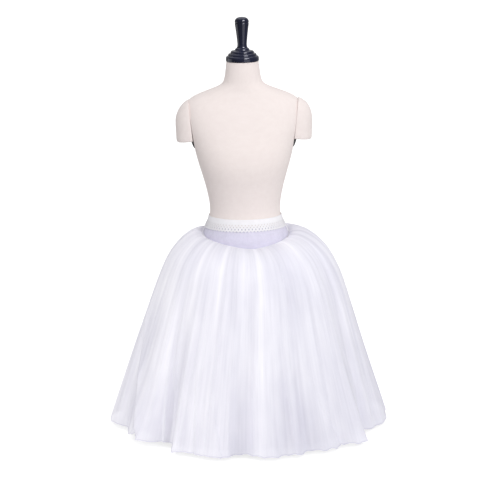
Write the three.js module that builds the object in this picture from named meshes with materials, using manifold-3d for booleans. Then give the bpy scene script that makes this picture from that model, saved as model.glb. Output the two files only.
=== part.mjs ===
// A rehearsal skirt, the long soft tutu that dancers practise in, worn by a dress form.
// The skirt is a wide elastic waistband with a looped (picot) lower edge, a sheer mesh basque that comes to a
// point at the front, and three gathered layers of tulle sewn to the basque one under another.
// The form is a padded torso with stuffed arm caps, a turned neck cap, and a low stand that the skirt hides.
// Millimetres. +Z is up, the wearer faces -Y, and the origin is the middle of the stand's underside.
import * as THREE from "three";
import { mergeVertices } from "three/addons/utils/BufferGeometryUtils.js";
import Module from "manifold-3d";

const wasm = await Module();
wasm.setup();

// ---- Driving sizes -------------------------------------------------------------------------------------------

const WAIST_HEIGHT = 640; // top edge of the waistband above the floor; every "up" below counts from here
const SEAM_GAP = 0.3; // between pieces that are sewn together or seated on each other
const TORSO_CLEARANCE = 0.7; // between the padded torso and the cloth that it fills

const BAND_HEIGHT = 32; // waistband, without its loops
const BAND_THICKNESS = 1.4;
const PICOT_COUNT = 72; // loops along the band's lower edge
const PICOT_DEPTH = 3.5;

const BASQUE_THICKNESS = 1.0;
const BASQUE_UNDER_BAND = 9; // how far the mesh runs up inside the band
const BASQUE_BELOW_SEAM = 20; // and down behind the tulle
const SEAM_UP_SIDE = -53; // the line where the tulle is sewn on, at the side seams
const SEAM_UP_FRONT = -91; // at the centre front point
const SEAM_UP_BACK = -66; // at the centre back
const SEAM_POINT_ROUNDING = 0.12; // radians over which the two points are rounded
const SEAM_TURN = THREE.MathUtils.degToRad(7); // the skirt sits turned on the form, its front point towards +X

const TULLE_THICKNESS = 1.2;
const SHELF_REACH = 255; // by this half-width the tulle no longer follows the seam's dip
const HEM_REACH = 410; // mean half-width of the outer hem

const ARMHOLE_AT = 144.5; // half-width of the armhole cut where it is 200 above the waist
const ARMHOLE_AT_UP = 200;
const ARMHOLE_SLOPE = 0.133; // how far the cut leans out per millimetre of height
const ARMHOLE_PLATE = 4;

const BASE_RADIUS = 160;
const BASE_THICKNESS = 8;
const BOSS_RADIUS = 26;
const BOSS_TOP = 24;
const POLE_RADIUS = 12.5;
const SOCKET_HEIGHT = 34;

// ---- Tables --------------------------------------------------------------------------------------------------

// Level sections of the torso. Depths count from the section's own centre, and square is the exponent of its
// outline: 2 is an ellipse, and more is boxier.
const TORSO_SECTIONS = [
  { up: -250, halfWidth: 148, front: 88, back: 102, centre: 0, square: 2.0 },
  { up: -243, halfWidth: 157, front: 96, back: 111, centre: 0, square: 2.0 },
  { up: -222, halfWidth: 162, front: 101, back: 118, centre: 0, square: 2.0 },
  { up: -190, halfWidth: 163, front: 105, back: 121, centre: 0, square: 2.0 },
  { up: -155, halfWidth: 158, front: 108, back: 120, centre: 0, square: 2.0 },
  { up: -118, halfWidth: 149, front: 109, back: 116, centre: 0, square: 2.0 },
  { up: -83, halfWidth: 137.5, front: 107, back: 109, centre: 0, square: 2.0 },
  { up: -53, halfWidth: 126.5, front: 103, back: 100, centre: 0, square: 2.0 },
  { up: -25, halfWidth: 115, front: 96, back: 91, centre: 0, square: 2.0 },
  { up: 0, halfWidth: 107, front: 90, back: 85, centre: 0, square: 2.0 },
  { up: 22, halfWidth: 105.5, front: 89, back: 83, centre: 0, square: 2.0 },
  { up: 50, halfWidth: 108.5, front: 92, back: 84, centre: 0, square: 2.05 },
  { up: 90, halfWidth: 117, front: 101, back: 87, centre: 0, square: 2.1 },
  { up: 127, halfWidth: 127, front: 112, back: 90, centre: 0, square: 2.2 },
  { up: 160, halfWidth: 136.5, front: 117, back: 92, centre: 0, square: 2.3 },
  { up: 199, halfWidth: 146.5, front: 113, back: 94, centre: 0, square: 2.4 },
  { up: 232, halfWidth: 155, front: 104, back: 95, centre: 1, square: 2.5 },
  { up: 265, halfWidth: 164, front: 94, back: 94, centre: 2, square: 2.6 },
  { up: 300, halfWidth: 171, front: 83, back: 88, centre: 4, square: 2.6 },
  { up: 328, halfWidth: 170, front: 73, back: 79, centre: 6, square: 2.5 },
  { up: 345, halfWidth: 162, front: 66, back: 71, centre: 7, square: 2.3 },
  { up: 358, halfWidth: 144, front: 61, back: 65, centre: 7, square: 2.15 },
  { up: 371, halfWidth: 113, front: 57, back: 60, centre: 7, square: 2.0 },
  { up: 383, halfWidth: 81, front: 55, back: 57, centre: 6, square: 2.0 },
  { up: 394, halfWidth: 62, front: 53, back: 55, centre: 5, square: 2.0 },
  { up: 410, halfWidth: 54.5, front: 51, back: 51, centre: 3, square: 2.0 },
  { up: 434, halfWidth: 50.5, front: 49, back: 49, centre: 1, square: 2.0 },
  { up: 459, halfWidth: 47.5, front: 47, back: 47, centre: 0, square: 2.0 },
];

// Level sections of one stuffed arm cap: middle and reach are across the body, depth is front to back.
const ARM_CAP_SECTIONS = [
  { up: 218, middle: 148, reach: 44, depth: 41 },
  { up: 221, middle: 148, reach: 49, depth: 45 },
  { up: 230, middle: 148, reach: 52.5, depth: 48 },
  { up: 250, middle: 148, reach: 54.5, depth: 50 },
  { up: 275, middle: 149, reach: 54.5, depth: 50 },
  { up: 300, middle: 150, reach: 51, depth: 47 },
  { up: 318, middle: 150, reach: 45.5, depth: 43 },
  { up: 333, middle: 150, reach: 35, depth: 36 },
  { up: 344, middle: 150, reach: 21, depth: 24 },
  { up: 350, middle: 150, reach: 10, depth: 12 },
];

// Profile of the turned neck cap, from the middle of its flat underside round to the middle of its dome.
const NECK_CAP_PROFILE = [
  { radius: 0, above: 0 },
  { radius: 47.5, above: 0 },
  { radius: 49, above: 3 },
  { radius: 49, above: 8 },
  { radius: 48, above: 11.5 },
  { radius: 45.5, above: 13.5 },
  { radius: 44, above: 17 },
  { radius: 41.5, above: 19.5 },
  { radius: 37.5, above: 21 },
  { radius: 35.5, above: 24 },
  { radius: 32, above: 26 },
  { radius: 30.5, above: 29 },
  { radius: 24.5, above: 30.5 },
  { radius: 20, above: 34 },
  { radius: 16.5, above: 38 },
  { radius: 14.8, above: 42 },
  { radius: 12.8, above: 48 },
  { radius: 12.9, above: 54 },
  { radius: 15.3, above: 74 },
  { radius: 18.4, above: 96 },
  { radius: 20.2, above: 108 },
  { radius: 19.4, above: 110 },
  { radius: 20.6, above: 112.5 },
  { radius: 20.2, above: 118.5 },
  { radius: 16.5, above: 124.5 },
  { radius: 9, above: 128 },
  { radius: 0, above: 129 },
];

// Rings of each tulle layer, from its gathered top edge to its hem, at the side of the body. aside is how far the
// ring hangs towards +X, fold and gather are the shares of the layer's folds and gathers that show there, and
// seam is how far it follows the seam's dip.
const OUTER_RINGS = [
  { reach: 0, up: 0, aside: 0, fold: 0, gather: 0, seam: 1 },
  { reach: 141, up: -45, aside: 2, fold: 0, gather: 0.35, seam: 1 },
  { reach: 164, up: -46, aside: 5, fold: 0.03, gather: 0.7, seam: 0.84 },
  { reach: 195, up: -64, aside: 8, fold: 0.09, gather: 0.8, seam: 0.56 },
  { reach: 227, up: -96, aside: 10, fold: 0.15, gather: 0.75, seam: 0.26 },
  { reach: 250, up: -131, aside: 11, fold: 0.22, gather: 0.75, seam: 0.08 },
  { reach: 276, up: -190, aside: 12, fold: 0.33, gather: 0.75, seam: 0 },
  { reach: 307, up: -283, aside: 9, fold: 0.5, gather: 0.8, seam: 0 },
  { reach: 352, up: -430, aside: 4, fold: 0.76, gather: 0.9, seam: 0 },
  { reach: HEM_REACH, up: -626, aside: 0, fold: 1, gather: 1, seam: 0 },
];
const MIDDLE_RINGS = [
  { reach: 0, up: 0, aside: 0, fold: 0, gather: 0, seam: 1 },
  { reach: 147, up: -54, aside: 3, fold: 0, gather: 0.4, seam: 1 },
  { reach: 190, up: -76, aside: 7, fold: 0.08, gather: 0.8, seam: 0.58 },
  { reach: 233, up: -132, aside: 10, fold: 0.18, gather: 0.8, seam: 0.1 },
  { reach: 262, up: -207, aside: 11, fold: 0.35, gather: 0.8, seam: 0 },
  { reach: 312, up: -392, aside: 5, fold: 0.7, gather: 0.9, seam: 0 },
  { reach: 374, up: -620, aside: 0, fold: 1, gather: 1, seam: 0 },
];
const INNER_RINGS = [
  { reach: 0, up: 0, aside: 0, fold: 0, gather: 0, seam: 1 },
  { reach: 151, up: -65, aside: 3, fold: 0, gather: 0.4, seam: 1 },
  { reach: 187, up: -87, aside: 6, fold: 0.08, gather: 0.8, seam: 0.6 },
  { reach: 221, up: -140, aside: 9, fold: 0.18, gather: 0.8, seam: 0.1 },
  { reach: 244, up: -212, aside: 10, fold: 0.35, gather: 0.8, seam: 0 },
  { reach: 284, up: -396, aside: 5, fold: 0.7, gather: 0.9, seam: 0 },
  { reach: 338, up: -612, aside: 0, fold: 1, gather: 1, seam: 0 },
];

// Crests and hollows of the big soft folds, all round the hem: at is the angle from the centre front in degrees,
// towards +X, and out is how far the cloth stands out (or in) there at the hem.
const OUTER_FOLDS = [
  { at: -90, out: 5 },
  { at: -84, out: 2 },
  { at: -73, out: -22 },
  { at: -64, out: -22 },
  { at: -53, out: 14 },
  { at: -47, out: 0 },
  { at: -39, out: -24 },
  { at: -32, out: 8 },
  { at: -27, out: -2 },
  { at: -22, out: 2 },
  { at: -15, out: 18 },
  { at: -9, out: 22 },
  { at: -5, out: -6 },
  { at: -1, out: -5 },
  { at: 4, out: 14 },
  { at: 10, out: 22 },
  { at: 14, out: 5 },
  { at: 20, out: 19 },
  { at: 24, out: 4 },
  { at: 33, out: 28 },
  { at: 40, out: 5 },
  { at: 50, out: 30 },
  { at: 62, out: -16 },
  { at: 68, out: -6 },
  { at: 76, out: 10 },
  { at: 84, out: 14 },
  { at: 96, out: 10 },
  { at: 109, out: -22 },
  { at: 121, out: 19 },
  { at: 131, out: -14 },
  { at: 142, out: 17 },
  { at: 150, out: -7 },
  { at: 158, out: 13 },
  { at: 168, out: -18 },
  { at: 179, out: 21 },
  { at: 190, out: -13 },
  { at: 199, out: 15 },
  { at: 207, out: -5 },
  { at: 217, out: 19 },
  { at: 229, out: -23 },
  { at: 241, out: 16 },
  { at: 253, out: -15 },
];
const MIDDLE_FOLDS = [
  { at: -90, out: 4 },
  { at: -73, out: -12 },
  { at: -58, out: 12 },
  { at: -44, out: -14 },
  { at: -29, out: 11 },
  { at: -16, out: -8 },
  { at: -2, out: 13 },
  { at: 12, out: -12 },
  { at: 25, out: 10 },
  { at: 38, out: -13 },
  { at: 52, out: 14 },
  { at: 68, out: -14 },
  { at: 84, out: 8 },
  { at: 101, out: -11 },
  { at: 117, out: 13 },
  { at: 134, out: -12 },
  { at: 152, out: 12 },
  { at: 170, out: -11 },
  { at: 187, out: 13 },
  { at: 203, out: -10 },
  { at: 220, out: 12 },
  { at: 238, out: -13 },
  { at: 254, out: 9 },
];
const INNER_FOLDS = [
  { at: -90, out: 8 },
  { at: -64, out: -9 },
  { at: -38, out: 10 },
  { at: -14, out: -9 },
  { at: 10, out: 9 },
  { at: 33, out: -10 },
  { at: 58, out: 9 },
  { at: 82, out: -8 },
  { at: 107, out: 10 },
  { at: 133, out: -9 },
  { at: 160, out: 9 },
  { at: 186, out: -10 },
  { at: 212, out: 9 },
  { at: 241, out: -8 },
];

// One row for each layer of tulle. sewn is how far below the seam line its top edge is caught, and gathers,
// gatherDepth and samples give its small pleats and how finely each of them is cut into faces.
const TULLE_LAYERS = [
  { name: "tulle_outer", rings: OUTER_RINGS, folds: OUTER_FOLDS, sewn: 0, gathers: 48, gatherDepth: 3.2, samples: 3 },
  { name: "tulle_middle", rings: MIDDLE_RINGS, folds: MIDDLE_FOLDS, sewn: 8, gathers: 28, gatherDepth: 2.6, samples: 3 },
  { name: "tulle_inner", rings: INNER_RINGS, folds: INNER_FOLDS, sewn: 16, gathers: 20, gatherDepth: 2.4, samples: 3 },
];

// ---- Materials -----------------------------------------------------------------------------------------------

const finish = (color, roughness, metalness = 0) =>
  new THREE.MeshStandardMaterial({ color, roughness, metalness });
const TULLE = finish(0xf2f1f8, 0.85);
const MESH_CLOTH = finish(0xf0edef, 0.7);
const ELASTIC = finish(0xf7f5f4, 0.75);
const JERSEY = finish(0xf3e9e4, 0.8);
const LACQUER = finish(0x15151b, 0.25);
const PLATE = finish(0x1b1618, 0.6);
const ENAMEL = finish(0xe9e9ec, 0.4);

// ---- Curves through the tables -------------------------------------------------------------------------------

// Reads a column of a table at a place along another column, on a smooth curve through the rows.
function read(table, along, column, place) {
  const last = table.length - 1;
  let i = 0;
  while (i < last - 1 && place > table[i + 1][along]) i += 1;
  const row = (k) => table[Math.min(Math.max(k, 0), last)];
  const slope = (k) => {
    const run = row(k + 1)[along] - row(k - 1)[along];
    return run === 0 ? 0 : (row(k + 1)[column] - row(k - 1)[column]) / run;
  };
  const span = row(i + 1)[along] - row(i)[along];
  const t = Math.min(Math.max((place - row(i)[along]) / span, 0), 1);
  const startShare = (1 + 2 * t) * (1 - t) ** 2;
  const endShare = t * t * (3 - 2 * t);
  const startPull = t * (1 - t) ** 2 * span * slope(i);
  const endPull = t * t * (t - 1) * span * slope(i + 1);
  return startShare * row(i)[column] + endShare * row(i + 1)[column] + startPull + endPull;
}

// How far a fold table stands out at an angle in radians: smooth from each crest to the next hollow, all round.
function foldOut(folds, angle) {
  let degrees = THREE.MathUtils.radToDeg(angle);
  while (degrees < folds[0].at) degrees += 360;
  while (degrees >= folds[0].at + 360) degrees -= 360;
  let i = folds.length - 1;
  while (folds[i].at > degrees) i -= 1;
  const from = folds[i];
  const to = folds[i + 1] ?? { at: folds[0].at + 360, out: folds[0].out };
  const ease = 0.5 - 0.5 * Math.cos((Math.PI * (degrees - from.at)) / (to.at - from.at));
  return from.out + (to.out - from.out) * ease;
}

// ---- The shape that the cloth is worn on -----------------------------------------------------------------------

const torsoAt = (up) => ({
  halfWidth: read(TORSO_SECTIONS, "up", "halfWidth", up),
  front: read(TORSO_SECTIONS, "up", "front", up),
  back: read(TORSO_SECTIONS, "up", "back", up),
  centre: read(TORSO_SECTIONS, "up", "centre", up),
  square: read(TORSO_SECTIONS, "up", "square", up),
});

// A point of a level outline, at an angle from the centre front towards +X, moved straight out by offset.
function outlinePoint(section, angle, up, offset = 0) {
  const depth = Math.cos(angle) > 0 ? section.front : section.back;
  const power = 2 / (section.square ?? 2);
  const across = Math.sign(Math.sin(angle)) * Math.abs(Math.sin(angle)) ** power;
  const ahead = Math.sign(Math.cos(angle)) * Math.abs(Math.cos(angle)) ** power;
  const out = new THREE.Vector2(Math.sin(angle) / section.halfWidth, -Math.cos(angle) / depth).normalize();
  return new THREE.Vector3(
    section.halfWidth * across + offset * out.x,
    (section.centre ?? 0) - depth * ahead + offset * out.y,
    WAIST_HEIGHT + up,
  );
}

// Height of the seam between basque and tulle: two straight runs that meet in a rounded point, front and back.
function seamUp(angle) {
  const turned = angle - SEAM_TURN;
  const fromFront = Math.abs(Math.atan2(Math.sin(turned), Math.cos(turned)));
  const towardsSide = fromFront < Math.PI / 2 ? fromFront : Math.PI - fromFront;
  const pointUp = fromFront < Math.PI / 2 ? SEAM_UP_FRONT : SEAM_UP_BACK;
  const rounded = Math.hypot(towardsSide, SEAM_POINT_ROUNDING) - SEAM_POINT_ROUNDING;
  const whole = Math.hypot(Math.PI / 2, SEAM_POINT_ROUNDING) - SEAM_POINT_ROUNDING;
  return pointUp + ((SEAM_UP_SIDE - pointUp) * rounded) / whole;
}

// ---- Making closed bodies --------------------------------------------------------------------------------------

function geometryOf(points, triangles) {
  const geometry = new THREE.BufferGeometry();
  geometry.setAttribute("position", new THREE.Float32BufferAttribute(points.flatMap((p) => p.toArray()), 3));
  geometry.setIndex(triangles);
  geometry.computeVertexNormals();
  return geometry;
}

// The direction out of a grid of points at one of them, from its neighbours along and across.
function gridNormal(grid, i, j, closed) {
  const columns = grid.length;
  const rows = grid[0].length;
  const before = closed ? (i + columns - 1) % columns : Math.max(i - 1, 0);
  const after = closed ? (i + 1) % columns : Math.min(i + 1, columns - 1);
  const across = grid[after][j].clone().sub(grid[before][j]);
  const down = grid[i][Math.min(j + 1, rows - 1)].clone().sub(grid[i][Math.max(j - 1, 0)]);
  return down.cross(across).normalize();
}

// A cloth wall whose outer face is a grid of points: columns run round the body towards +X, rows run down.
function clothWall(grid, thickness, closed) {
  const columns = grid.length;
  const rows = grid[0].length;
  const inner = grid.map((column, i) =>
    column.map((p, j) => p.clone().addScaledVector(gridNormal(grid, i, j, closed), -thickness)),
  );
  const points = [...grid.flat(), ...inner.flat()];
  const outerAt = (i, j) => (i % columns) * rows + j;
  const innerAt = (i, j) => columns * rows + outerAt(i, j);
  const triangles = [];
  const quad = (a, b, c, d) => triangles.push(a, b, c, a, c, d);
  const spans = closed ? columns : columns - 1;
  for (let i = 0; i < spans; i += 1) {
    for (let j = 0; j < rows - 1; j += 1) {
      quad(outerAt(i, j), outerAt(i, j + 1), outerAt(i + 1, j + 1), outerAt(i + 1, j));
      quad(innerAt(i, j), innerAt(i + 1, j), innerAt(i + 1, j + 1), innerAt(i, j + 1));
    }
    const hem = rows - 1;
    quad(outerAt(i, 0), outerAt(i + 1, 0), innerAt(i + 1, 0), innerAt(i, 0));
    quad(outerAt(i, hem), innerAt(i, hem), innerAt(i + 1, hem), outerAt(i + 1, hem));
  }
  if (!closed) {
    const end = columns - 1;
    for (let j = 0; j < rows - 1; j += 1) {
      quad(outerAt(0, j), innerAt(0, j), innerAt(0, j + 1), outerAt(0, j + 1));
      quad(outerAt(end, j), outerAt(end, j + 1), innerAt(end, j + 1), innerAt(end, j));
    }
  }
  return geometryOf(points, triangles);
}

// A solid through level rings of equal length, listed from the lowest up, with a flat cap at each end.
function loft(rings) {
  const around = rings[0].length;
  const points = rings.flat();
  const triangles = [];
  for (let j = 0; j < rings.length - 1; j += 1) {
    for (let i = 0; i < around; i += 1) {
      const next = (i + 1) % around;
      const [a, b] = [j * around + i, j * around + next];
      triangles.push(a, b, b + around, a, b + around, a + around);
    }
  }
  const middle = (ring) => ring.reduce((sum, p) => sum.add(p), new THREE.Vector3()).divideScalar(around);
  const bottom = points.push(middle(rings[0])) - 1;
  const top = points.push(middle(rings.at(-1))) - 1;
  const topStart = (rings.length - 1) * around;
  for (let i = 0; i < around; i += 1) {
    const next = (i + 1) % around;
    triangles.push(bottom, next, i, top, topStart + i, topStart + next);
  }
  return geometryOf(points, triangles);
}

function solidOf(geometry) {
  const bare = geometry.clone();
  bare.deleteAttribute("normal");
  bare.deleteAttribute("uv");
  const merged = mergeVertices(bare, 1e-4);
  return new wasm.Manifold(
    new wasm.Mesh({
      numProp: 3,
      vertProperties: merged.attributes.position.array,
      triVerts: new Uint32Array(merged.index.array),
    }),
  );
}

function geometryFrom(solid) {
  const mesh = solid.getMesh();
  const geometry = new THREE.BufferGeometry();
  geometry.setAttribute("position", new THREE.BufferAttribute(mesh.vertProperties, 3));
  geometry.setIndex(new THREE.BufferAttribute(mesh.triVerts, 1));
  geometry.computeVertexNormals();
  return geometry;
}

const model = new THREE.Group();

function add(name, geometry, material) {
  const mesh = new THREE.Mesh(geometry, material);
  mesh.name = name;
  model.add(mesh);
}

// Angles of the columns round the body, from the centre front towards +X.
const anglesRound = (count) => Array.from({ length: count }, (_, i) => (2 * Math.PI * i) / count);

// ---- Stand: a flat round foot, a pole, and the socket under the torso --------------------------------------------

const TORSO_BOTTOM = WAIST_HEIGHT + TORSO_SECTIONS[0].up;
const ROUND_SEGMENTS = 32;

function lathe(profile, segments) {
  const outline = profile.map(([radius, height]) => new THREE.Vector2(radius, height));
  return new THREE.LatheGeometry(outline, segments).rotateX(Math.PI / 2);
}

function addStand() {
  const footProfile = [
    [0, 0],
    [BASE_RADIUS - 3, 0],
    [BASE_RADIUS, 3],
    [BASE_RADIUS, BASE_THICKNESS - 2],
    [BASE_RADIUS - 3, BASE_THICKNESS],
    [BOSS_RADIUS + 6, BASE_THICKNESS + 2],
    [BOSS_RADIUS, BASE_THICKNESS + 6],
    [BOSS_RADIUS - 3, BOSS_TOP],
    [0, BOSS_TOP],
  ];
  add("stand_foot", lathe(footProfile, ROUND_SEGMENTS), ENAMEL);

  const poleStart = BOSS_TOP + SEAM_GAP;
  const poleLength = TORSO_BOTTOM - SEAM_GAP - poleStart;
  const pole = new THREE.CylinderGeometry(POLE_RADIUS, POLE_RADIUS, poleLength, 20);
  add("stand_pole", pole.rotateX(Math.PI / 2).translate(0, 0, poleStart + poleLength / 2), ENAMEL);

  const bore = POLE_RADIUS + SEAM_GAP;
  const socketTop = TORSO_BOTTOM - SEAM_GAP;
  const socketProfile = [
    [bore, socketTop - SOCKET_HEIGHT],
    [bore + 6, socketTop - SOCKET_HEIGHT],
    [bore + 8, socketTop - SOCKET_HEIGHT + 2],
    [bore + 8, socketTop - 8],
    [44, socketTop - 4],
    [44, socketTop],
    [bore, socketTop],
    [bore, socketTop - SOCKET_HEIGHT],
  ];
  add("stand_socket", lathe(socketProfile, 20), ENAMEL);
}

// ---- Dress form: torso, armhole plates, arm caps and neck cap ----------------------------------------------------

// A tall block that fills the space outside one armhole cut, from start to start + depth beyond it.
function beyondArmhole(side, start, depth) {
  const lean = Math.atan(ARMHOLE_SLOPE);
  const block = new THREE.BoxGeometry(depth, 400, 300);
  block.translate(start + depth / 2, 0, 100);
  block.rotateY(lean);
  block.translate(ARMHOLE_AT, 0, WAIST_HEIGHT + ARMHOLE_AT_UP);
  if (side < 0) block.rotateZ(Math.PI);
  return solidOf(block);
}

function addForm() {
  const around = anglesRound(40);
  const whole = solidOf(
    loft(TORSO_SECTIONS.map((section) => around.map((angle) => outlinePoint(section, angle, section.up)))),
  );
  const sides = [
    { side: 1, word: "left" },
    { side: -1, word: "right" },
  ];
  const torso = sides.reduce((solid, { side }) => solid.subtract(beyondArmhole(side, 0, 200)), whole);
  add("form_torso", geometryFrom(torso), JERSEY);

  for (const { side, word } of sides) {
    const plate = whole.intersect(beyondArmhole(side, SEAM_GAP, ARMHOLE_PLATE));
    add("form_armhole_plate_" + word, geometryFrom(plate), PLATE);
    const capRings = ARM_CAP_SECTIONS.map(({ up, middle, reach, depth }) =>
      anglesRound(28).map((angle) => {
        const section = { halfWidth: reach, front: depth, back: depth, centre: 4 };
        return outlinePoint(section, angle, up).add(new THREE.Vector3(side * middle, 0, 0));
      }),
    );
    const capStart = ARMHOLE_PLATE + 2 * SEAM_GAP;
    const cap = solidOf(loft(capRings)).intersect(beyondArmhole(side, capStart, 200));
    add("form_arm_cap_" + word, geometryFrom(cap), JERSEY);
  }

  const neckTop = WAIST_HEIGHT + TORSO_SECTIONS.at(-1).up + SEAM_GAP;
  const neckCap = lathe(NECK_CAP_PROFILE.map(({ radius, above }) => [radius, neckTop + above]), 24);
  add("form_neck_cap", neckCap, LACQUER);
}

// ---- Skirt: waistband --------------------------------------------------------------------------------------------

// The band lies close on the form at its top edge and over the basque lower down. Its last row is the picot edge.
function addWaistband() {
  const overBasque = TORSO_CLEARANCE + BASQUE_THICKNESS + SEAM_GAP + BAND_THICKNESS;
  const onTorso = TORSO_CLEARANCE + BAND_THICKNESS;
  const basqueTop = BAND_HEIGHT - BASQUE_UNDER_BAND;
  const rows = [
    { down: 0, offset: onTorso },
    { down: basqueTop - 2, offset: overBasque },
    { down: BAND_HEIGHT, offset: overBasque },
  ];
  const grid = anglesRound(2 * PICOT_COUNT).map((angle, i) =>
    rows.map(({ down, offset }) => {
      const picot = down === BAND_HEIGHT && i % 2 === 0 ? PICOT_DEPTH : 0;
      const up = -down - picot;
      return outlinePoint(torsoAt(up), angle, up, offset);
    }),
  );
  add("waistband", clothWall(grid, BAND_THICKNESS, true), ELASTIC);
}

// ---- Skirt: basque, a front and a back piece joined at the sides --------------------------------------------------

function addBasque() {
  const sideGap = SEAM_GAP / 2 / TORSO_SECTIONS.find(({ up }) => up === -53).halfWidth;
  const topUp = -BAND_HEIGHT + BASQUE_UNDER_BAND;
  const columns = 26;
  const rowCount = 3;
  const offset = TORSO_CLEARANCE + BASQUE_THICKNESS;
  for (const { name, from } of [
    { name: "basque_front", from: -Math.PI / 2 },
    { name: "basque_back", from: Math.PI / 2 },
  ]) {
    const grid = Array.from({ length: columns + 1 }, (_, i) => {
      const angle = from + sideGap + ((Math.PI - 2 * sideGap) * i) / columns;
      const bottomUp = seamUp(angle) - BASQUE_BELOW_SEAM;
      return Array.from({ length: rowCount + 1 }, (_unused, j) => {
        const up = topUp + ((bottomUp - topUp) * j) / rowCount;
        return outlinePoint(torsoAt(up), angle, up, offset);
      });
    });
    add(name, clothWall(grid, BASQUE_THICKNESS, false), MESH_CLOTH);
  }
}

// ---- Skirt: tulle ------------------------------------------------------------------------------------------------

// One point of a layer's outer face. The first ring lies on the basque. The others grow from the body's oval to a
// circle, and folds and gathers move them: square to the cloth on top of the shelf, and level further down.
function tullePoint(layer, ringIndex, angle) {
  const { rings, folds, sewn, gathers, gatherDepth } = layer;
  const seam = seamUp(angle) - sewn;
  if (ringIndex === 0) {
    const offset = TORSO_CLEARANCE + BASQUE_THICKNESS + SEAM_GAP;
    return outlinePoint(torsoAt(seam), angle, seam, offset);
  }
  const ring = rings[ringIndex];
  const start = torsoAt(SEAM_UP_SIDE);
  const towardsHem = THREE.MathUtils.clamp((ring.reach - start.halfWidth) / (SHELF_REACH - start.halfWidth), 0, 1);
  const oval = {
    halfWidth: ring.reach,
    front: ring.reach - (start.halfWidth - start.front) * (1 - towardsHem),
    back: ring.reach - (start.halfWidth - start.back) * (1 - towardsHem),
  };
  const above = ringIndex === 1 ? { reach: start.halfWidth, up: SEAM_UP_SIDE - sewn } : rings[ringIndex - 1];
  const below = rings[ringIndex + 1] ?? ring;
  const slope = new THREE.Vector2(below.reach - above.reach, below.up - above.up).normalize();
  const wave = Math.cos(gathers * angle) * gatherDepth * ring.gather;
  const out = foldOut(folds, angle) * ring.fold + wave;
  const up = ring.up + (seamUp(angle) - SEAM_UP_SIDE) * ring.seam;
  const point = outlinePoint(oval, angle, up, -slope.y * out);
  point.x += ring.aside;
  point.z += slope.x * out * (1 - towardsHem);
  return point;
}

function addTulle() {
  for (const layer of TULLE_LAYERS) {
    const grid = anglesRound(layer.gathers * layer.samples).map((angle) =>
      layer.rings.map((_, ringIndex) => tullePoint(layer, ringIndex, angle)),
    );
    add(layer.name, clothWall(grid, TULLE_THICKNESS, true), TULLE);
  }
}

addStand();
addForm();
addWaistband();
addBasque();
addTulle();

export default model;
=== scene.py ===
import math

import bmesh
import bpy
import numpy as np
from mathutils import Matrix, Vector


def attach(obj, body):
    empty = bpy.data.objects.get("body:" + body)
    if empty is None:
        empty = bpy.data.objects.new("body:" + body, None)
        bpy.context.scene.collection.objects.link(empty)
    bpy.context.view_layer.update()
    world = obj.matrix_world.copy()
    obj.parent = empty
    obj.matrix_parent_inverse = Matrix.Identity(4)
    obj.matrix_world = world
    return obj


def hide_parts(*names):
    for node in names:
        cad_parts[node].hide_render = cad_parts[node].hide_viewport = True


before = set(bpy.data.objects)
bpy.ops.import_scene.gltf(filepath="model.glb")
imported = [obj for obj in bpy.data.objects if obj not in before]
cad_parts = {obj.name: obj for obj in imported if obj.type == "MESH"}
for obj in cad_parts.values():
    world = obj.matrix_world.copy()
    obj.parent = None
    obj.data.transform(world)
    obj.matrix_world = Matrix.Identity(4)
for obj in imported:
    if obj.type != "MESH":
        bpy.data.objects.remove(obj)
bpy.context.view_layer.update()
scene = bpy.context.scene

# ---- Camera -----------------------------------------------
# A long studio lens six metres off, a little above the neck cap and looking slightly down, so that the waistband
# and the hem show as shallow ovals. It is rolled by one degree.
CAMERA_PLACE, TILT, ROLL = (0.0126, -6.0, 1.865), 12.56, 1  # metres, and degrees downwards and round the lens
camera_data = bpy.data.cameras.new("studio_camera")
camera_data.lens = 147.2
camera_data.sensor_width = 36
camera_data.clip_end = 200
camera = bpy.data.objects.new("studio_camera", camera_data)
camera.matrix_world = (
    Matrix.Translation(CAMERA_PLACE)
    @ Matrix.Rotation(math.radians(90 - TILT), 4, "X")
    @ Matrix.Rotation(math.radians(-ROLL), 4, "Z")
)
scene.collection.objects.link(camera)
scene.camera = camera

# ---- Stand ------------------------------------------------
# A flat round steel foot with a boss, a straight steel tube, and the flanged socket under the torso. All three
# are turned or spun, coated with white enamel, and hidden by the skirt from most sides.
SMOOTH_UNDER, BEVEL_OVER = math.radians(40), math.radians(35)


def turned(name, outline, steps=96, edge=0.0012):
    """A solid of revolution: an outline of (radius, height) in millimetres, drawn point by point and spun."""
    bpy.ops.object.select_all(action="DESELECT")
    bpy.ops.mesh.primitive_plane_add(size=0.01)
    piece = bpy.context.object
    piece.name = piece.data.name = name
    bpy.ops.object.mode_set(mode="EDIT")
    bpy.ops.mesh.select_all(action="SELECT")
    bpy.ops.mesh.merge(type="CENTER")
    bpy.ops.transform.translate(value=(outline[0][0] / 1000, 0, outline[0][1] / 1000))
    for (from_radius, from_height), (radius, height) in zip(outline, outline[1:]):
        step = ((radius - from_radius) / 1000, 0, (height - from_height) / 1000)
        bpy.ops.mesh.extrude_vertices_move(TRANSFORM_OT_translate={"value": step})
    bpy.ops.mesh.select_all(action="SELECT")
    bpy.ops.mesh.spin(steps=steps, angle=math.tau, center=(0, 0, 0), axis=(0, 0, 1))
    bpy.ops.mesh.select_all(action="SELECT")
    bpy.ops.mesh.remove_doubles(threshold=1e-5)
    bpy.ops.mesh.normals_make_consistent(inside=False)
    bpy.ops.object.mode_set(mode="OBJECT")
    if edge:
        bpy.ops.object.modifier_add(type="BEVEL")
        rounding = piece.modifiers[-1]
        rounding.width = edge
        rounding.segments = 2
        rounding.limit_method = "ANGLE"
        rounding.angle_limit = BEVEL_OVER
        bpy.ops.object.modifier_apply(modifier=rounding.name)
    bpy.ops.object.shade_smooth_by_angle(angle=SMOOTH_UNDER)
    return piece


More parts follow.
